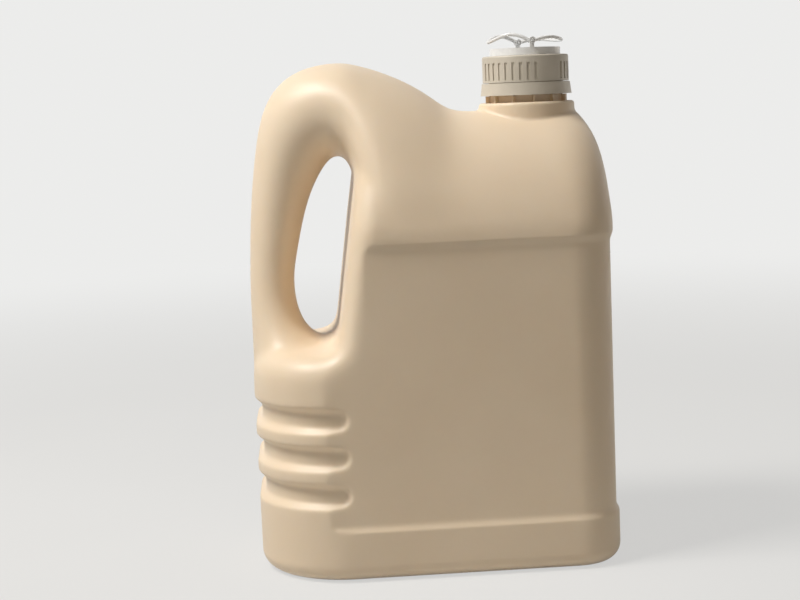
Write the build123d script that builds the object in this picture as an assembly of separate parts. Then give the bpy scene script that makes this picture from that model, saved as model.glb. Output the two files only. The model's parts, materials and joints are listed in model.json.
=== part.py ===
from build123d import *
import math
import os

os.makedirs("parts", exist_ok=True)

# Moulded bottle: overall sizes
BODY_WIDTH = 195.0
BODY_DEPTH = 130.0
HANDLE_TOP = 272.5
RIDGE_TOP = 245.0
WALL = 1.2
HANDLE_SIDE_CORNER = 50.0
NECK_SIDE_CORNER = 25.0
BASE_EDGE = 9.0
BASE_RECESS = 2.5
BASE_RECESS_INSET = 13.0
BASE_RECESS_SLOPE_DEG = 50.0

# Scooped finger gap beside the handle
SHELF_HEIGHT = 120.0
SCOOP_FOOT_X = -51.0
SCOOP_TOP_X = -33.0
SCOOP_CORNER = 10.0
SCOOP_EDGE = 13.0

# Label panel and the steps that bound it
PANEL_BOTTOM = 27.0
PANEL_TOP = 178.0
PANEL_DEPTH = 1.6
PANEL_BOTTOM_STEP = 2.6
PANEL_TOP_STEP = 4.2

# Shoulder slices from the panel up to the ridge: height share, half-depth share, and the share of the
# end rounding that the neck-side end has drawn in
SHOULDER_HEIGHT_SHARES = (0.0, 0.25, 0.5, 0.72, 0.88, 0.975)
SHOULDER_DEPTH_SHARES = (1.0, 0.952, 0.832, 0.655, 0.42, 0.17)
SHOULDER_END_SHARES = (0.0, 0.02, 0.09, 0.23, 0.52, 0.86)
SHOULDER_END_DROP = 16.0
SLICE_CORNER_SHARE = 0.75

# Handle slices, from inside the shoulder over the top and down into the block: inner point and outer
# point (x as a share of half width, z as a share of the handle top), half-depth share, arch share
HANDLE_SLICE_SHARES = (
    (0.300, 0.6055, 0.300, 0.8700, 0.960, 1.00),
    (0.200, 0.6055, 0.200, 0.8890, 0.970, 1.00),
    (0.082, 0.6055, 0.082, 0.9220, 0.980, 1.00),
    (-0.082, 0.609, -0.051, 0.9540, 0.980, 1.00),
    (-0.226, 0.631, -0.195, 0.9770, 0.950, 0.95),
    (-0.338, 0.697, -0.338, 0.9930, 0.800, 0.70),
    (-0.405, 0.793, -0.4615, 1.000, 0.600, 0.35),
    (-0.482, 0.8165, -0.656, 0.988, 0.470, 0.10),
    (-0.574, 0.7817, -0.831, 0.9394, 0.390, 0.0),
    (-0.651, 0.723, -0.928, 0.8367, 0.330, 0.0),
    (-0.723, 0.624, -0.985, 0.6606, 0.295, 0.0),
    (-0.747, 0.5505, -1.000, 0.5394, 0.300, 0.0),
    (-0.697, 0.4807, -1.000, 0.4477, 0.420, 0.0),
    (-0.585, 0.444, -0.998, 0.3743, 0.640, 0.0),
    (-0.451, 0.4037, -0.974, 0.301, 0.800, 0.0),
    (-0.308, 0.3596, -0.944, 0.235, 0.840, 0.0),
)
# Half outline of a slice from its outer to its inner point: as an oval and as the shoulder's arch
OVAL_ALONG_SHARES = (1.0, 0.866, 0.5, 0.0, -0.5, -0.866, -1.0)
OVAL_ACROSS_SHARES = (0.0, 0.5, 0.866, 1.0, 0.866, 0.5, 0.0)
ARCH_ALONG_SHARES = (1.0, 0.80, 0.45, 0.0, -0.50, -0.92, -1.0)
ARCH_ACROSS_SHARES = (0.0, 0.42, 0.70, 0.885, 0.985, 0.70, 0.0)

# Rounding where the handle runs into the shelf, and how closely block and shoulder meet
SHELF_BLEND = 8.0
SEAM_TOLERANCE = 0.05

# Grip grooves round the handle end
GROOVE_COUNT = 3
GROOVE_LOWEST = 46.5
GROOVE_PITCH = 20.2
GROOVE_WIDTH = 14.4
GROOVE_FLOOR_WIDTH = 7.6
GROOVE_DEPTH = 3.8
GROOVE_END_X = -46.0

# Neck: boss on the shoulder, threaded tube, retaining bead and stop ribs
NECK_FROM_END = 38.3
BOSS_RADIUS = 26.3
BOSS_TOP = 247.3
BOSS_DEPTH = 30.0
BOSS_EDGE = 1.2
NECK_RADIUS = 20.3
NECK_WALL = 2.0
RIM_TOP = 269.4
RIM_EDGE = 0.6
BEAD_RADIUS = 22.4
BEAD_BOTTOM = 253.9
BEAD_TOP = 256.2
STOP_RIB_COUNT = 12
STOP_RIB_THICKNESS = 1.0
STOP_RIB_RADIUS = 22.6
STOP_RIB_TOP = 251.0
STOP_RIB_OFFSET_SHARE = 0.1

# Screw thread shared by neck and cap
PITCH = 5.0
NECK_THREAD_START = 259.0
NECK_THREAD_TURNS = 1.6
CAP_THREAD_TURNS = 1.25
THREAD_HEIGHT = 1.1
THREAD_ROOT = 2.4
THREAD_CREST = 1.2
THREAD_BURY = 0.3

# Tamper band left on the neck
BAND_BOTTOM = 251.2
BAND_TOP = 257.8
BAND_BOTTOM_RADIUS = 25.0
BAND_TOP_RADIUS = 24.2
BAND_INNER_RADIUS = 22.8
BAND_HOOK_RADIUS = 20.9
BAND_HOOK_HEIGHT = 2.2

# Screw cap with three groups of flutes
CAP_BOTTOM = 258.1
CAP_TOP = 272.5
CAP_RADIUS = 23.65
CAP_BORE = 21.9
CAP_ROOF = 1.6
CAP_EDGE = 1.0
CAP_HOLE_RADIUS = 16.6
FLUTE_GROUPS = 3
FLUTES_IN_GROUP = 9
FLUTE_STEP_DEG = 10.0
FLUTE_WIDTH = 1.7
FLUTE_DEPTH = 0.6
FLUTE_BOTTOM = 259.3
FLUTE_TOP = 268.6
FLUTE_FIRST_DEG = 196.0

# Sealing ring between the neck rim and the cap roof
SEAL_OUTER_RADIUS = 20.4
SEAL_INNER_RADIUS = 17.2
SEAT_GAP = 0.15
RUNNING_GAP = 0.3

# Pull-out stopper: cup, flange with a raised rim, and a post with a pin at front and back
STOPPER_WALL = 1.4
STOPPER_BOTTOM = 262.0
FLANGE_RADIUS = 19.4
FLANGE_THICKNESS = 1.6
FLANGE_RIM_HEIGHT = 2.25
FLANGE_RIM_WALL = 1.5
STOPPER_TURN_DEG = 4.0
POST_WIDTH = 2.4
POST_ABOVE_PIN = 1.4
PIN_ABOVE_RIM = 3.7
PIN_RADIUS = 0.8
PIN_LENGTH = 2.2

# Two bowed bail handles on the pins
BAIL_RADIUS = 0.95
KNUCKLE_RADIUS = 1.75
KNUCKLE_LENGTH = 1.7
BAIL_REACH = 20.0
LEFT_BAIL_BOW = 3.4
RIGHT_BAIL_BOW = 1.4
BAIL_TURN_SHARES = (0.10, 0.24, 0.38, 0.62, 0.82)
BAIL_BOW_SHARES = (0.35, 0.85, 1.00, 0.55, 0.14)

HALF_WIDTH = BODY_WIDTH / 2
HALF_DEPTH = BODY_DEPTH / 2
REACH = 2 * HANDLE_TOP
NECK_X = HALF_WIDTH - NECK_FROM_END
FLANGE_RIM_TOP = CAP_TOP + SEAT_GAP + FLANGE_THICKNESS + FLANGE_RIM_HEIGHT
PIN_HEIGHT = FLANGE_RIM_TOP + PIN_ABOVE_RIM
POST_TOP = PIN_HEIGHT + POST_ABOVE_PIN
SCOOP_LEAN = (SCOOP_TOP_X - SCOOP_FOOT_X) / (RIDGE_TOP - SHELF_HEIGHT)


def scoop_x(z):
    """Line of the finger gap's wall, leaning towards the neck."""
    return SCOOP_FOOT_X + SCOOP_LEAN * (z - SHELF_HEIGHT)


def plan_outline(left, right, half_depth, left_corner, right_corner):
    """Rounded plan outline with one corner radius at each end."""
    outline = Pos((left + right) / 2, 0) * Rectangle(right - left, 2 * half_depth)
    outline = fillet(outline.vertices().sort_by(Axis.X)[2:], right_corner)
    return fillet(outline.vertices().sort_by(Axis.X)[:2], left_corner)


def on_scoop_lip(centre, inset):
    """True for the middle of an edge that runs round the rim of the scoop."""
    above_shelf = centre.Z > SHELF_HEIGHT - inset - WALL / 2
    below_top = centre.Z < PANEL_TOP - WALL / 2
    beside_scoop = centre.X < scoop_x(RIDGE_TOP)
    at_end = centre.X < WALL - HALF_WIDTH + inset
    at_side = abs(centre.Y) > WALL
    return above_shelf and below_top and beside_scoop and (at_end or at_side)


def block(inset):
    """Straight-sided block below the shoulder, with the shelf and wall of the finger gap."""
    outline = plan_outline(
        inset - HALF_WIDTH,
        HALF_WIDTH - inset,
        HALF_DEPTH - inset,
        HANDLE_SIDE_CORNER - inset,
        NECK_SIDE_CORNER - inset,
    )
    solid = Pos(0, 0, inset) * extrude(outline, PANEL_TOP - inset)
    solid = fillet(solid.faces().sort_by(Axis.Z)[0].edges(), BASE_EDGE - inset)
    gap = Polyline(
        (-REACH, SHELF_HEIGHT - inset),
        (scoop_x(SHELF_HEIGHT) + inset, SHELF_HEIGHT - inset),
        (scoop_x(REACH) + inset, REACH),
        (-REACH, REACH),
        close=True,
    )
    gap_face = make_face(gap)
    inner_corner = gap_face.vertices().sort_by_distance((scoop_x(SHELF_HEIGHT), SHELF_HEIGHT))[0]
    gap_face = fillet(inner_corner, SCOOP_CORNER + inset)
    solid -= extrude(Plane.XZ * gap_face, REACH, both=True)
    lip = [edge for edge in solid.edges() if on_scoop_lip(edge.center(), inset)]
    return fillet(lip, SCOOP_EDGE - inset)


def shoulder(inset):
    """Rounded shoulder, stacked slices from the label panel up to the ridge."""
    slices = []
    for height_share, depth_share, end_share in zip(
        SHOULDER_HEIGHT_SHARES, SHOULDER_DEPTH_SHARES, SHOULDER_END_SHARES
    ):
        z = PANEL_TOP + (RIDGE_TOP - inset - PANEL_TOP) * height_share
        half_depth = HALF_DEPTH * depth_share - inset
        outline = plan_outline(
            scoop_x(z) + inset,
            HALF_WIDTH - inset - SHOULDER_END_DROP * end_share,
            half_depth,
            min(SCOOP_EDGE - inset, SLICE_CORNER_SHARE * half_depth),
            min(NECK_SIDE_CORNER - inset, SLICE_CORNER_SHARE * half_depth),
        )
        slices.append(Pos(0, 0, z) * outline)
    return loft(slices)


def blend(oval_shares, arch_shares, arch_share):
    """Point shares between the oval outline and the arch outline."""
    return [o + (a - o) * arch_share for o, a in zip(oval_shares, arch_shares)]


def handle(inset):
    """Hump and grip: slices from inside the shoulder over the top and down into the block."""
    slices = []
    for inner_x, inner_z, outer_x, outer_z, depth_share, arch_share in HANDLE_SLICE_SHARES:
        inner = Vector(inner_x * HALF_WIDTH, 0, inner_z * HANDLE_TOP)
        outer = Vector(outer_x * HALF_WIDTH, 0, outer_z * HANDLE_TOP)
        span = outer - inner
        middle = (inner + outer) / 2
        along = span.normalized() * (span.length / 2 - inset)
        across = Vector(0, depth_share * HALF_DEPTH - inset, 0)
        along_shares = blend(OVAL_ALONG_SHARES, ARCH_ALONG_SHARES, arch_share)
        across_shares = blend(OVAL_ACROSS_SHARES, ARCH_ACROSS_SHARES, arch_share)
        front = [middle + along * s - across * c for s, c in zip(along_shares, across_shares)]
        back = [middle + along * s + across * c for s, c in zip(along_shares, across_shares)]
        points = front + back[-2:0:-1]
        knots = [i / len(points) for i in range(len(points) + 1)]
        slices.append(make_face(Edge.make_spline(points, periodic=True, parameters=knots)))
    return loft(slices)


def soften(solid, edges, radius):
    """Round a crease; where the full radius has no room, half of it, or else none."""
    for size in (radius, radius / 2):
        try:
            rounded = solid.fillet(size, edges)
        except (ValueError, RuntimeError):
            continue
        if rounded.is_valid:
            return rounded
    return solid


def panel_ring(inset):
    """What the label panel takes off: everything outside its sunk outline, with sloped ends."""
    half_step = PANEL_DEPTH / 2
    levels = (
        (PANEL_BOTTOM - PANEL_BOTTOM_STEP / 2 - inset, -half_step),
        (PANEL_BOTTOM + PANEL_BOTTOM_STEP - inset, PANEL_DEPTH),
        (PANEL_TOP - PANEL_TOP_STEP + inset, PANEL_DEPTH),
        (PANEL_TOP + PANEL_TOP_STEP / 2 + inset, -half_step),
    )
    slices = []
    for z, sunk in levels:
        half_depth = HALF_DEPTH - inset - sunk
        width = REACH + HALF_WIDTH - inset - sunk
        outline = Pos(width / 2 - REACH, 0) * Rectangle(width, 2 * half_depth)
        corners = outline.vertices().sort_by(Axis.X)[2:]
        slices.append(Pos(0, 0, z) * fillet(corners, NECK_SIDE_CORNER - inset - sunk))
    core = loft(slices, ruled=True)
    bottom = levels[0][0]
    height = levels[-1][0] - bottom
    return Pos(0, 0, bottom + height / 2) * Box(REACH, REACH, height) - core


def groove(z, grow):
    """One grip groove with sloped sides, following the plan outline and round at both ends."""
    half_width = GROOVE_WIDTH / 2 + grow
    half_floor = GROOVE_FLOOR_WIDTH / 2 + grow
    depth = GROOVE_DEPTH + grow
    slope = (GROOVE_WIDTH - GROOVE_FLOOR_WIDTH) / 2 / GROOVE_DEPTH
    corner_x = HANDLE_SIDE_CORNER - HALF_WIDTH
    corner_y = HALF_DEPTH - HANDLE_SIDE_CORNER
    lead = math.degrees(math.asin((corner_x - GROOVE_END_X + GROOVE_WIDTH / 2) / HANDLE_SIDE_CORNER))
    sweep_deg = 90 - lead
    front = CenterArc((corner_x, -corner_y, z), HANDLE_SIDE_CORNER, 180 + sweep_deg, -sweep_deg)
    back = CenterArc((corner_x, corner_y, z), HANDLE_SIDE_CORNER, 180, -sweep_deg)
    path = Wire([front.edge(), Line(front @ 1, back @ 0).edge(), back.edge()])
    outline = [
        (depth, 0),
        (depth, half_width + slope * depth),
        (-depth, half_floor),
        (-depth, 0),
    ]
    solid = None
    for turn_deg in (180 + sweep_deg, 180 - sweep_deg):
        start = Plane(
            origin=(front @ 0) if turn_deg > 180 else (back @ 1),
            x_dir=(math.cos(math.radians(turn_deg)), math.sin(math.radians(turn_deg)), 0),
            z_dir=(-math.sin(math.radians(turn_deg)), math.cos(math.radians(turn_deg)), 0),
        )
        half = make_face(Polyline(*outline, close=True))
        end = revolve(start * half, Axis(start.origin, start.x_dir))
        if solid is None:
            profile = half + mirror(half, Plane.XZ)
            solid = sweep(start * profile, path=path) + end
        else:
            solid += end
    return solid


def base_recess(grow):
    """Shallow recess that leaves a standing ring under the base."""
    inset = BASE_RECESS_INSET - grow
    outline = plan_outline(
        inset - HALF_WIDTH,
        HALF_WIDTH - inset,
        HALF_DEPTH - inset,
        HANDLE_SIDE_CORNER - inset,
        NECK_SIDE_CORNER - inset,
    )
    return extrude(outline, BASE_RECESS + grow, taper=BASE_RECESS_SLOPE_DEG)


def moulding(inset):
    """Whole outside form for inset 0, or the hollow inside for an inset of the wall."""
    main = block(inset).fuse(shoulder(inset), tol=SEAM_TOLERANCE)
    grip = handle(inset)
    solid = main + grip
    if inset == 0:
        crease = new_edges(main, grip, combined=solid)
        lower = [edge for edge in crease if edge.center().Z < PANEL_TOP]
        solid = soften(solid, lower, SHELF_BLEND)
    solid -= panel_ring(inset)
    for i in range(GROOVE_COUNT):
        solid -= groove(GROOVE_LOWEST + i * GROOVE_PITCH, inset)
    return solid - base_recess(inset)


def ring(profile):
    """Solid of revolution about the neck from (radius, height) points."""
    return Pos(NECK_X, 0, 0) * revolve(Plane.XZ * make_face(Polyline(*profile, close=True)), Axis.Z)


def tube(outer, inner, bottom, top):
    """Plain ring about the neck."""
    return ring([(inner, bottom), (outer, bottom), (outer, top), (inner, top)])


def rod(radius, bottom, top):
    """Plain cylinder about the neck."""
    return Pos(NECK_X, 0, (bottom + top) / 2) * Cylinder(radius, top - bottom)


def thread(radius, outward, start, turns):
    """Helical ridge standing outward (1) or inward (-1) from a cylinder of the given radius."""
    height = outward * THREAD_HEIGHT
    bury = -outward * THREAD_BURY
    profile = Polyline(
        (radius + bury, -THREAD_ROOT / 2),
        (radius + height, -THREAD_CREST / 2),
        (radius + height, THREAD_CREST / 2),
        (radius + bury, THREAD_ROOT / 2),
        close=True,
    )
    path = Helix(PITCH, PITCH * turns, radius)
    ridge = sweep(Plane.XZ * make_face(profile), path=path, is_frenet=True)
    return Pos(NECK_X, 0, start) * ridge


def neck():
    """Neck finish: boss, tube, retaining bead, stop ribs and thread."""
    boss = rod(BOSS_RADIUS, BOSS_TOP - BOSS_DEPTH, BOSS_TOP)
    boss = fillet(boss.edges().group_by(Axis.Z)[-1], BOSS_EDGE)
    pipe = rod(NECK_RADIUS, BOSS_TOP - WALL, RIM_TOP)
    pipe = fillet(pipe.edges().group_by(Axis.Z)[-1], RIM_EDGE)
    bead_slope = (BEAD_TOP - BEAD_BOTTOM) / 2
    bead = ring(
        [
            (NECK_RADIUS - THREAD_BURY, BEAD_BOTTOM),
            (BEAD_RADIUS, BEAD_BOTTOM),
            (BEAD_RADIUS, BEAD_TOP - bead_slope),
            (NECK_RADIUS, BEAD_TOP),
            (NECK_RADIUS - THREAD_BURY, BEAD_TOP),
        ]
    )
    solid = boss + pipe + bead
    rib_length = STOP_RIB_RADIUS - NECK_RADIUS + WALL
    rib_height = STOP_RIB_TOP - BOSS_TOP + WALL
    rib = Pos(STOP_RIB_RADIUS - rib_length / 2, 0, STOP_RIB_TOP - rib_height / 2) * Box(
        rib_length, STOP_RIB_THICKNESS, rib_height
    )
    for i in range(STOP_RIB_COUNT):
        turn = 360 / STOP_RIB_COUNT * (i + STOP_RIB_OFFSET_SHARE)
        solid += Pos(NECK_X, 0, 0) * Rot(0, 0, turn) * rib
    return solid + thread(NECK_RADIUS, 1, NECK_THREAD_START, NECK_THREAD_TURNS)


def neck_hollow():
    """Bore of the neck and the hollow of the boss."""
    hollow = rod(BOSS_RADIUS - WALL, BOSS_TOP - BOSS_DEPTH, BOSS_TOP - WALL)
    bore = rod(NECK_RADIUS - NECK_WALL, BOSS_TOP - BOSS_DEPTH, RIM_TOP + WALL)
    return hollow + bore


def tamper_band():
    """Flared band with an inner hook under the retaining bead."""
    hook_top = BAND_BOTTOM + BAND_HOOK_HEIGHT
    return ring(
        [
            (BAND_HOOK_RADIUS, BAND_BOTTOM),
            (BAND_BOTTOM_RADIUS, BAND_BOTTOM),
            (BAND_TOP_RADIUS, BAND_TOP),
            (BAND_INNER_RADIUS, BAND_TOP),
            (BAND_INNER_RADIUS, hook_top),
            (BAND_HOOK_RADIUS, hook_top),
        ]
    )


def screw_cap():
    """Cap skirt with fluted groups, an open roof and the inside thread."""
    solid = rod(CAP_RADIUS, CAP_BOTTOM, CAP_TOP)
    solid = fillet(solid.edges().group_by(Axis.Z)[-1], CAP_EDGE)
    solid -= rod(CAP_BORE, CAP_BOTTOM - WALL, CAP_TOP - CAP_ROOF)
    solid -= rod(CAP_HOLE_RADIUS, CAP_BOTTOM, CAP_TOP + WALL)
    flute_height = FLUTE_TOP - FLUTE_BOTTOM
    flute = Pos(CAP_RADIUS, 0, FLUTE_BOTTOM + flute_height / 2) * Box(
        2 * FLUTE_DEPTH, FLUTE_WIDTH, flute_height
    )
    for group in range(FLUTE_GROUPS):
        for i in range(FLUTES_IN_GROUP):
            turn = FLUTE_FIRST_DEG + 360 / FLUTE_GROUPS * group + FLUTE_STEP_DEG * i
            solid -= Pos(NECK_X, 0, 0) * Rot(0, 0, turn) * flute
    start = NECK_THREAD_START + PITCH / 2
    return solid + thread(CAP_BORE, -1, start, CAP_THREAD_TURNS)


def stopper():
    """Pull-out cup with a flange, a raised rim and hinge posts at front and back."""
    plug_radius = CAP_HOLE_RADIUS - RUNNING_GAP
    flange_bottom = CAP_TOP + SEAT_GAP
    flange_top = flange_bottom + FLANGE_THICKNESS
    rim_inner = FLANGE_RADIUS - FLANGE_RIM_WALL
    solid = ring(
        [
            (0, STOPPER_BOTTOM),
            (plug_radius, STOPPER_BOTTOM),
            (plug_radius, flange_bottom),
            (FLANGE_RADIUS, flange_bottom),
            (FLANGE_RADIUS, FLANGE_RIM_TOP),
            (rim_inner, FLANGE_RIM_TOP),
            (rim_inner, flange_top),
            (plug_radius - STOPPER_WALL, flange_top),
            (plug_radius - STOPPER_WALL, STOPPER_BOTTOM + STOPPER_WALL),
            (0, STOPPER_BOTTOM + STOPPER_WALL),
        ]
    )
    post_height = POST_TOP - flange_top
    post = Box(POST_WIDTH, FLANGE_RIM_WALL, post_height)
    pin = Rot(90, 0, 0) * Cylinder(PIN_RADIUS, FLANGE_RIM_WALL + 2 * PIN_LENGTH)
    middle = FLANGE_RADIUS - FLANGE_RIM_WALL / 2
    for side in (-1, 1):
        fitting = Pos(0, side * middle, POST_TOP - post_height / 2) * post
        fitting += Pos(0, side * middle, PIN_HEIGHT) * pin
        solid += Pos(NECK_X, 0, 0) * Rot(0, 0, STOPPER_TURN_DEG) * fitting
    return solid


def bail(side, bow):
    """Bowed half ring with a knuckle on each pin; side -1 is the handle side, 1 the other."""
    post_face = FLANGE_RADIUS if side > 0 else FLANGE_RADIUS - FLANGE_RIM_WALL
    knuckle_y = post_face + side * (RUNNING_GAP + KNUCKLE_LENGTH / 2)
    quarter = []
    for turn_share, bow_share in zip(BAIL_TURN_SHARES, BAIL_BOW_SHARES):
        turn = math.pi / 2 * turn_share
        quarter.append(
            Vector(
                side * BAIL_REACH * math.sin(turn),
                -knuckle_y * math.cos(turn),
                PIN_HEIGHT + bow * bow_share,
            )
        )
    start_x = side * (KNUCKLE_RADIUS + PIN_RADIUS) / 2
    start = Vector(start_x, -knuckle_y, PIN_HEIGHT)
    apex = Vector(side * BAIL_REACH, 0, PIN_HEIGHT)
    front = [start] + quarter
    back = [Vector(p.X, -p.Y, p.Z) for p in reversed(front)]
    path = Spline(*front, apex, *back)
    solid = sweep(Plane(origin=path @ 0, z_dir=path % 0) * Circle(BAIL_RADIUS), path=path)
    pin_hole = Rot(90, 0, 0) * Cylinder(PIN_RADIUS + RUNNING_GAP, REACH)
    for end in (-1, 1):
        solid += Pos(0, end * knuckle_y, PIN_HEIGHT) * Rot(90, 0, 0) * Cylinder(KNUCKLE_RADIUS, KNUCKLE_LENGTH)
    solid -= Pos(0, 0, PIN_HEIGHT) * pin_hole
    return Pos(NECK_X, 0, 0) * Rot(0, 0, STOPPER_TURN_DEG) * solid


outside = moulding(0) + neck()
inside = moulding(WALL) + neck_hollow()
seal_bottom = RIM_TOP + SEAT_GAP
seal_top = CAP_TOP - CAP_ROOF - SEAT_GAP
pieces = {
    "body": outside - inside,
    "tamper_band": tamper_band(),
    "seal_ring": tube(SEAL_OUTER_RADIUS, SEAL_INNER_RADIUS, seal_bottom, seal_top),
    "cap": screw_cap(),
    "stopper": stopper(),
    "bail_left": bail(-1, LEFT_BAIL_BOW),
    "bail_right": bail(1, RIGHT_BAIL_BOW),
}
for name, piece in pieces.items():
    export_step(piece, os.path.join("parts", name + ".step"))
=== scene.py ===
import bmesh
import bpy
import json
import math
from mathutils import Matrix, Vector


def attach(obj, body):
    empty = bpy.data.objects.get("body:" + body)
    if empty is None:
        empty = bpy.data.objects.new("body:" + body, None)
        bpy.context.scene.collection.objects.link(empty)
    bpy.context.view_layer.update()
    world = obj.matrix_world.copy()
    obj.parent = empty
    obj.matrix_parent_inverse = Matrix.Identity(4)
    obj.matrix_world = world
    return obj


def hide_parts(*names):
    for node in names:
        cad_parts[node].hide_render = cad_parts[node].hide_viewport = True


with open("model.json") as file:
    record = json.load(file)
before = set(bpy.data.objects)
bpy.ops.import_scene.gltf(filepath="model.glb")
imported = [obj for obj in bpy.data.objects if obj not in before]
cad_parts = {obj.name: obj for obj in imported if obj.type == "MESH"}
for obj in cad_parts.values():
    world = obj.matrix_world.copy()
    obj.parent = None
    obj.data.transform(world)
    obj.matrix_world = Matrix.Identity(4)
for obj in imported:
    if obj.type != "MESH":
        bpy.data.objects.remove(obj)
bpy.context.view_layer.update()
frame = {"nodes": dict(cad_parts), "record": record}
nodes = frame["nodes"]


# Camera: where the photograph was taken from (degrees, metres and pixels)
CAMERA_AZIMUTH = -4.0
CAMERA_ELEVATION = 7.4
CAMERA_ROLL = 2.3
CAMERA_DISTANCE = 0.878
TARGET = Vector((0.0, 0.0, 0.140))
IMAGE_WIDTH = 800
SENSOR_WIDTH = 36.0
FOCAL_PIXELS = 1576.0
TARGET_SHIFT_PIXELS = 27.0

# Studio: background and floor, the world's light, and the lamps
BACKGROUND = (0.84, 0.84, 0.83, 1.0)
WORLD_LIGHT = (0.10, 0.080, 0.058, 1.0)
FLOOR_REACH = 12.0
FLOOR_FADE_START = 0.35
FLOOR_FADE_END = 1.6
FLOOR_NEAR_GLOW = 0.68
FLOOR_TONES = ((0.58, 0.58, 0.57, 1.0), (0.62, 0.62, 0.61, 1.0))
FLOOR_TONE_NOISE = (3.0, 2.0)
FLOOR_ROUGHNESS = 0.8
# Name, power in watts, edge length, position, colour
LAMPS = (
    ("key", 23.0, 0.5, (-0.80, -0.27, 1.35), (1.0, 0.97, 0.93)),
    ("fill", 0.6, 1.2, (0.6, -1.4, 0.7), (1.0, 0.82, 0.62)),
    ("side", 2.2, 1.0, (1.4, 0.9, 0.5), (1.0, 0.90, 0.78)),
)

# Materials: each NOISE is a scale and a detail, each GRAIN a bump strength and distance
RAMP_POSITIONS = (0.35, 0.65)
SPAN_POSITIONS = (0.3, 0.7)

HDPE_TONES = ((0.785, 0.64, 0.475, 1.0), (0.82, 0.675, 0.51, 1.0))
HDPE_TONE_NOISE = (14.0, 4.0)
HDPE_ROUGHNESS = (0.40, 0.52)
HDPE_ROUGHNESS_NOISE = (60.0, 6.0)
HDPE_SUBSURFACE = 0.2
HDPE_SUBSURFACE_RADIUS = (1.0, 0.7, 0.45)
HDPE_SUBSURFACE_SCALE = 0.003
HDPE_GRAIN = (0.10, 0.0004)
HDPE_GRAIN_NOISE = (420.0, 3.0)

# Closure tones: partly the closure's own greyish white, partly painted shade, darker than the white
# plastic would be under the lamps
CLOSURE_TONES_WITH_PAINTED_SHADE = ((0.56, 0.52, 0.44, 1.0), (0.62, 0.58, 0.50, 1.0))
CLOSURE_TONE_NOISE = (40.0, 3.0)
CLOSURE_ROUGHNESS = (0.38, 0.5)
CLOSURE_ROUGHNESS_NOISE = (90.0, 5.0)
CLOSURE_GRAIN = (0.08, 0.0003)
CLOSURE_GRAIN_NOISE = (600.0, 2.0)

FOAM_TONES = ((0.74, 0.74, 0.72, 1.0), (0.82, 0.82, 0.80, 1.0))
FOAM_TONE_NOISE = (300.0, 2.0)
FOAM_ROUGHNESS = 0.8
FOAM_GRAIN = (0.2, 0.0003)
FOAM_GRAIN_NOISE = (900.0, 2.0)

CLEAR_TONES = ((0.90, 0.92, 0.93, 1.0), (0.95, 0.96, 0.97, 1.0))
CLEAR_TONE_NOISE = (50.0, 3.0)
CLEAR_ROUGHNESS = (0.08, 0.18)
CLEAR_ROUGHNESS_NOISE = (120.0, 4.0)
CLEAR_IOR = 1.5
CLEAR_TRANSMISSION = 0.12

# Moulding: the neck's place and the wall, as in the CAD
NECK_AXIS = Vector((0.0592, 0.0))
BOSS_TOP = 0.2473
BOSS_RADIUS = 0.0263
BOSS_FLAT_RADIUS = 0.0251
MOUTH_RADIUS = 0.0244
MOUTH_DEPTH = 0.004
WALL = 0.0012

# Moulding: how finely and how softly the outside is drawn
WELD_DISTANCE = 1e-6
TOUCH = 2e-5
SKIN_CELL = 0.001
SKIN_TRIANGLES = 92000
SMOOTH_FACTOR = 0.5
EVEN_STEPS = 4
SOFT_STEPS = 110
SEAM_STEPS = 320
SHARP_ANGLE = 35.0

# Moulding: where the soft zones start and end
BOSS_CLEAR = (BOSS_RADIUS + 0.002, BOSS_RADIUS + 0.007)
BOSS_FOOT = (0.216, 0.224)
PANEL_TOP = (0.186, 0.194)
GRIP_SIDE = (-0.042, -0.036)
GRIP_FOOT = (0.098, 0.106)
SEAM_START = (-0.026, -0.010)
SEAM_END = (0.030, 0.044)


def add_camera():
    az = math.radians(CAMERA_AZIMUTH)
    el = math.radians(CAMERA_ELEVATION)
    back = Vector((math.sin(az) * math.cos(el), -math.cos(az) * math.cos(el), math.sin(el)))
    right = (-back).cross(Vector((0, 0, 1))).normalized()
    up = right.cross(-back)
    turn = Matrix.Rotation(math.radians(-CAMERA_ROLL), 3, "Z")
    axes = Matrix((right, up, back)).transposed() @ turn
    data = bpy.data.cameras.new("photo_camera")
    data.sensor_width = SENSOR_WIDTH
    data.lens = FOCAL_PIXELS * data.sensor_width / IMAGE_WIDTH
    data.shift_x = -TARGET_SHIFT_PIXELS / IMAGE_WIDTH
    camera = bpy.data.objects.new("photo_camera", data)
    place = Matrix.Translation(TARGET + back * CAMERA_DISTANCE)
    camera.matrix_world = place @ axes.to_4x4()
    bpy.context.scene.collection.objects.link(camera)
    bpy.context.scene.camera = camera


def new_material(name):
    material = bpy.data.materials.new(name)
    material.use_nodes = True
    tree = material.node_tree
    return material, tree, tree.nodes["Principled BSDF"]


def noise(tree, scale, detail):
    """Noise over the object's own coordinates."""
    coordinates = tree.nodes.new("ShaderNodeTexCoord")
    texture = tree.nodes.new("ShaderNodeTexNoise")
    texture.inputs["Scale"].default_value = scale
    texture.inputs["Detail"].default_value = detail
    tree.links.new(coordinates.outputs["Object"], texture.inputs["Vector"])
    return texture.outputs["Fac"]


def tone(tree, bsdf, source, tones):
    """Base colour that runs from the first tone to the second over the middle of a noise."""
    node = tree.nodes.new("ShaderNodeValToRGB")
    for stop, position, colour in zip(node.color_ramp.elements, RAMP_POSITIONS, tones):
        stop.position = position
        stop.color = colour
    tree.links.new(source, node.inputs["Fac"])
    tree.links.new(node.outputs["Color"], bsdf.inputs["Base Color"])


def roughness(tree, bsdf, source, limits):
    """Roughness between two limits, driven by a noise."""
    node = tree.nodes.new("ShaderNodeMapRange")
    node.inputs["From Min"].default_value, node.inputs["From Max"].default_value = SPAN_POSITIONS
    node.inputs["To Min"].default_value, node.inputs["To Max"].default_value = limits
    tree.links.new(source, node.inputs["Value"])
    tree.links.new(node.outputs["Result"], bsdf.inputs["Roughness"])


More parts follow.
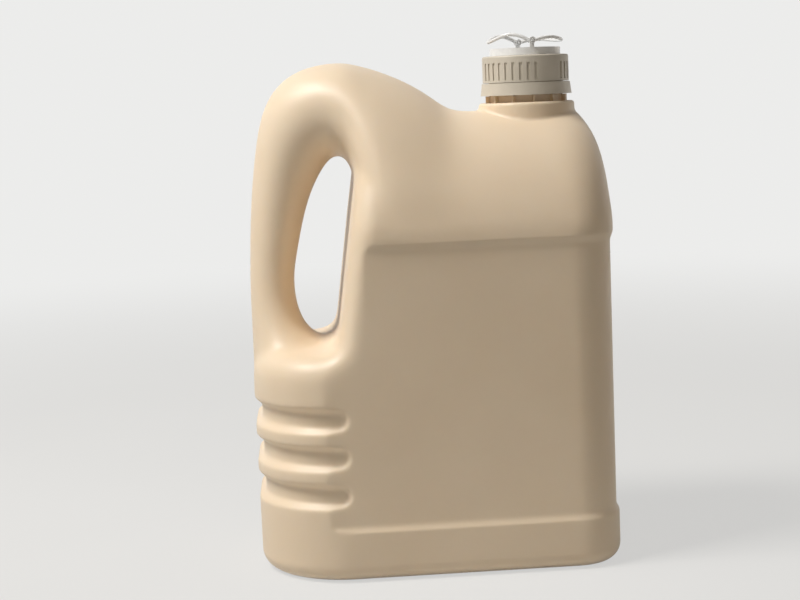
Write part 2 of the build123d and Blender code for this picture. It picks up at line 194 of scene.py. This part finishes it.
def bump(tree, bsdf, source, grain):
    node = tree.nodes.new("ShaderNodeBump")
    node.inputs["Strength"].default_value, node.inputs["Distance"].default_value = grain
    tree.links.new(source, node.inputs["Height"])
    tree.links.new(node.outputs["Normal"], bsdf.inputs["Normal"])


def hdpe():
    material, tree, bsdf = new_material("white_hdpe")
    tone(tree, bsdf, noise(tree, *HDPE_TONE_NOISE), HDPE_TONES)
    roughness(tree, bsdf, noise(tree, *HDPE_ROUGHNESS_NOISE), HDPE_ROUGHNESS)
    bsdf.inputs["Subsurface Weight"].default_value = HDPE_SUBSURFACE
    bsdf.inputs["Subsurface Radius"].default_value = HDPE_SUBSURFACE_RADIUS
    bsdf.inputs["Subsurface Scale"].default_value = HDPE_SUBSURFACE_SCALE
    bump(tree, bsdf, noise(tree, *HDPE_GRAIN_NOISE), HDPE_GRAIN)
    return material


def closure_plastic():
    material, tree, bsdf = new_material("closure_white")
    # base colour partly the closure's own greyish white, partly painted shade
    tone(tree, bsdf, noise(tree, *CLOSURE_TONE_NOISE), CLOSURE_TONES_WITH_PAINTED_SHADE)
    roughness(tree, bsdf, noise(tree, *CLOSURE_ROUGHNESS_NOISE), CLOSURE_ROUGHNESS)
    bump(tree, bsdf, noise(tree, *CLOSURE_GRAIN_NOISE), CLOSURE_GRAIN)
    return material


def foam():
    material, tree, bsdf = new_material("seal_foam")
    tone(tree, bsdf, noise(tree, *FOAM_TONE_NOISE), FOAM_TONES)
    bsdf.inputs["Roughness"].default_value = FOAM_ROUGHNESS
    bump(tree, bsdf, noise(tree, *FOAM_GRAIN_NOISE), FOAM_GRAIN)
    return material


def clear_plastic():
    material, tree, bsdf = new_material("clear_ldpe")
    tone(tree, bsdf, noise(tree, *CLEAR_TONE_NOISE), CLEAR_TONES)
    roughness(tree, bsdf, noise(tree, *CLEAR_ROUGHNESS_NOISE), CLEAR_ROUGHNESS)
    bsdf.inputs["IOR"].default_value = CLEAR_IOR
    bsdf.inputs["Transmission Weight"].default_value = CLEAR_TRANSMISSION
    return material


def smooth(obj):
    """Smooth shading except across sharp edges."""
    mesh = obj.data
    for polygon in mesh.polygons:
        polygon.use_smooth = True
    work = bmesh.new()
    work.from_mesh(mesh)
    for edge in work.edges:
        sharp = len(edge.link_faces) == 2 and edge.calc_face_angle() > math.radians(SHARP_ANGLE)
        edge.smooth = not sharp
    work.to_mesh(mesh)
    work.free()


def neck_radius(point):
    return (Vector((point.x, point.y)) - NECK_AXIS).length


def rise(value, start, end):
    """0 before start, 1 after end, straight between."""
    return min(max((value - start) / (end - start), 0.0), 1.0)


def fall(value, start, end):
    """1 before start, 0 after end, straight between."""
    return rise(-value, -end, -start)


def soft_zone(point):
    """How strongly a point of the moulding is drawn soft: hump, shoulder and shelf, off the boss."""
    off_boss = max(rise(neck_radius(point), *BOSS_CLEAR), fall(point.z, *BOSS_FOOT))
    above_panel = rise(point.z, *PANEL_TOP)
    at_grip = fall(point.x, *GRIP_SIDE) * rise(point.z, *GRIP_FOOT)
    return max(above_panel, at_grip) * off_boss


def seam_zone(point):
    """How strongly a point lies where the hump runs out into the shoulder."""
    along = rise(point.x, *SEAM_START) * fall(point.x, *SEAM_END)
    return along * soft_zone(point)


def mesh_object(name, work):
    mesh = bpy.data.meshes.new(name)
    work.to_mesh(mesh)
    work.free()
    obj = bpy.data.objects.new(name, mesh)
    bpy.context.scene.collection.objects.link(obj)
    return obj


def applied(obj):
    """Replace the object's mesh by the one its modifiers give."""
    depsgraph = bpy.context.evaluated_depsgraph_get()
    mesh = bpy.data.meshes.new_from_object(obj.evaluated_get(depsgraph))
    obj.modifiers.clear()
    obj.data = mesh


def neck_faces(work):
    """Faces of the neck tube and of the flat ring that it stands on."""

    def on_neck(point):
        above_ring = point.z > BOSS_TOP - WALL - TOUCH
        return above_ring and neck_radius(point) < BOSS_FLAT_RADIUS + TOUCH

    return {face for face in work.faces if all(on_neck(v.co) for v in face.verts)}


def outside_faces(work):
    """Faces of the moulding's outside up to the top of the neck boss."""

    def on_boss_top(face):
        return all(v.co.z > BOSS_TOP - TOUCH and neck_radius(v.co) < BOSS_RADIUS for v in face.verts)

    seed = max(work.faces, key=lambda f: f.calc_center_median().x)
    found = {seed}
    edge_of_search = [seed]
    while edge_of_search:
        face = edge_of_search.pop()
        for edge in face.edges:
            for other in edge.link_faces:
                if other not in found and not on_boss_top(other):
                    found.add(other)
                    edge_of_search.append(other)
    return found


def keep_faces(work, kept):
    """Delete all other faces and return the edges that this leaves open."""
    bmesh.ops.delete(work, geom=[f for f in work.faces if f not in kept], context="FACES")
    return [e for e in work.edges if len(e.link_faces) == 1]


def draw_neck(work):
    """Neck tube with its thread, bead and ribs, as a piece closed round its foot."""
    foot = keep_faces(work, neck_faces(work))
    bmesh.ops.bridge_loops(work, edges=foot)
    bmesh.ops.recalc_face_normals(work, faces=work.faces)
    return mesh_object("neck", work)


def draw_outside(work):
    """Outside of the moulding, closed over the boss."""
    rim = keep_faces(work, outside_faces(work))
    bmesh.ops.holes_fill(work, edges=rim, sides=0)
    bmesh.ops.recalc_face_normals(work, faces=work.faces)
    return mesh_object("moulding", work)


def add_smoothing(obj, name, steps):
    modifier = obj.modifiers.new(name, "SMOOTH")
    modifier.factor = SMOOTH_FACTOR
    modifier.iterations = steps
    return modifier


def soften(skin):
    """Draw the outside in even cells and smooth it, most in the soft zones."""
    remesh = skin.modifiers.new("cells", "REMESH")
    remesh.mode = "VOXEL"
    remesh.voxel_size = SKIN_CELL
    remesh.adaptivity = 0.0
    applied(skin)
    for name, zone in (("soft", soft_zone), ("seam", seam_zone)):
        group = skin.vertex_groups.new(name=name)
        for vertex in skin.data.vertices:
            group.add([vertex.index], zone(vertex.co), "REPLACE")
    add_smoothing(skin, "even", EVEN_STEPS)
    for name, steps in (("soft", SOFT_STEPS), ("seam", SEAM_STEPS)):
        add_smoothing(skin, name, steps).vertex_group = name
    applied(skin)
    triangles = sum(len(polygon.vertices) - 2 for polygon in skin.data.polygons)
    fewer = skin.modifiers.new("fewer", "DECIMATE")
    fewer.ratio = min(1.0, SKIN_TRIANGLES / triangles)
    applied(skin)


def hollow(skin):
    """Open the mouth under the neck and give the outside its wall."""
    work = bmesh.new()
    work.from_mesh(skin.data)
    mouth = []
    for face in work.faces:
        centre = face.calc_center_median()
        if centre.z > BOSS_TOP - MOUTH_DEPTH and neck_radius(centre) < MOUTH_RADIUS:
            mouth.append(face)
    bmesh.ops.delete(work, geom=mouth, context="FACES")
    work.to_mesh(skin.data)
    work.free()
    wall = skin.modifiers.new("wall", "SOLIDIFY")
    wall.thickness = WALL
    wall.offset = -1.0
    applied(skin)


def draw_body():
    """Moulding with blown, soft edges and one even wall, and the crisp neck on its boss."""
    work = bmesh.new()
    work.from_mesh(nodes["body"].data)
    bmesh.ops.remove_doubles(work, verts=work.verts, dist=WELD_DISTANCE)
    neck = draw_neck(work.copy())
    skin = draw_outside(work)
    soften(skin)
    hollow(skin)
    for obj in (skin, neck):
        obj.data.materials.clear()
        obj.data.materials.append(MATERIALS["white_hdpe"])
        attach(obj, "drum")
    for polygon in skin.data.polygons:
        polygon.use_smooth = True
    smooth(neck)
    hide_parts("body")


def add_lamp(name, energy, size, position, colour):
    data = bpy.data.lights.new(name, "AREA")
    data.energy = energy
    data.size = size
    data.color = colour
    lamp = bpy.data.objects.new(name, data)
    lamp.location = position
    aim = (TARGET - Vector(position)).to_track_quat("-Z", "Y")
    lamp.rotation_euler = aim.to_euler()
    bpy.context.scene.collection.objects.link(lamp)


def camera_share(tree):
    """1 for rays that show the background: from the camera, or by way of gloss or glass."""
    path = tree.nodes.new("ShaderNodeLightPath")
    total = path.outputs["Is Camera Ray"]
    for other in ("Is Glossy Ray", "Is Transmission Ray"):
        highest = tree.nodes.new("ShaderNodeMath")
        highest.operation = "MAXIMUM"
        tree.links.new(total, highest.inputs[0])
        tree.links.new(path.outputs[other], highest.inputs[1])
        total = highest.outputs["Value"]
    return total


def floor_fade(tree):
    """Share of the background's glow: less near the object, where the shadow falls."""
    coordinates = tree.nodes.new("ShaderNodeTexCoord")
    length = tree.nodes.new("ShaderNodeVectorMath")
    length.operation = "LENGTH"
    tree.links.new(coordinates.outputs["Object"], length.inputs[0])
    fade = tree.nodes.new("ShaderNodeMapRange")
    fade.interpolation_type = "SMOOTHSTEP"
    fade.inputs["From Min"].default_value = FLOOR_FADE_START
    fade.inputs["From Max"].default_value = FLOOR_FADE_END
    fade.inputs["To Min"].default_value = FLOOR_NEAR_GLOW
    fade.inputs["To Max"].default_value = 1.0
    tree.links.new(length.outputs["Value"], fade.inputs["Value"])
    return fade.outputs["Result"]


def floor_material():
    material, tree, bsdf = new_material("floor")
    tone(tree, bsdf, noise(tree, *FLOOR_TONE_NOISE), FLOOR_TONES)
    bsdf.inputs["Roughness"].default_value = FLOOR_ROUGHNESS
    glow = tree.nodes.new("ShaderNodeEmission")
    glow.inputs["Color"].default_value = BACKGROUND
    seen = tree.nodes.new("ShaderNodeMath")
    seen.operation = "MULTIPLY"
    tree.links.new(floor_fade(tree), seen.inputs[0])
    tree.links.new(camera_share(tree), seen.inputs[1])
    mix = tree.nodes.new("ShaderNodeMixShader")
    tree.links.new(seen.outputs["Value"], mix.inputs["Fac"])
    tree.links.new(bsdf.outputs["BSDF"], mix.inputs[1])
    tree.links.new(glow.outputs["Emission"], mix.inputs[2])
    tree.links.new(mix.outputs["Shader"], tree.nodes["Material Output"].inputs["Surface"])
    return material


def add_floor():
    """Pale floor that keeps the shadow near the object and runs out into the background."""
    mesh = bpy.data.meshes.new("floor")
    reach = FLOOR_REACH
    corners = [(-reach, -reach, 0), (reach, -reach, 0), (reach, reach, 0), (-reach, reach, 0)]
    mesh.from_pydata(corners, [], [(0, 1, 2, 3)])
    floor = bpy.data.objects.new("floor", mesh)
    bpy.context.scene.collection.objects.link(floor)
    mesh.materials.append(floor_material())


def add_world():
    """Dim warm light all round, behind a background that shows pale."""
    world = bpy.data.worlds.new("studio")
    bpy.context.scene.world = world
    world.use_nodes = True
    tree = world.node_tree
    light = tree.nodes["Background"]
    light.inputs["Color"].default_value = WORLD_LIGHT
    shown = tree.nodes.new("ShaderNodeBackground")
    shown.inputs["Color"].default_value = BACKGROUND
    mix = tree.nodes.new("ShaderNodeMixShader")
    tree.links.new(camera_share(tree), mix.inputs["Fac"])
    tree.links.new(light.outputs["Background"], mix.inputs[1])
    tree.links.new(shown.outputs["Background"], mix.inputs[2])
    tree.links.new(mix.outputs["Shader"], tree.nodes["World Output"].inputs["Surface"])


MATERIALS = {
    "white_hdpe": hdpe(),
    "closure_white": closure_plastic(),
    "seal_foam": foam(),
    "clear_ldpe": clear_plastic(),
}
for part in frame["record"]["subparts"]:
    node = nodes[part["node"]]
    node.data.materials.clear()
    node.data.materials.append(MATERIALS[part["material_slot"]])
    smooth(node)
draw_body()

add_floor()
add_camera()
for lamp in LAMPS:
    add_lamp(*lamp)
add_world()
bpy.context.scene.view_settings.view_transform = "Standard"
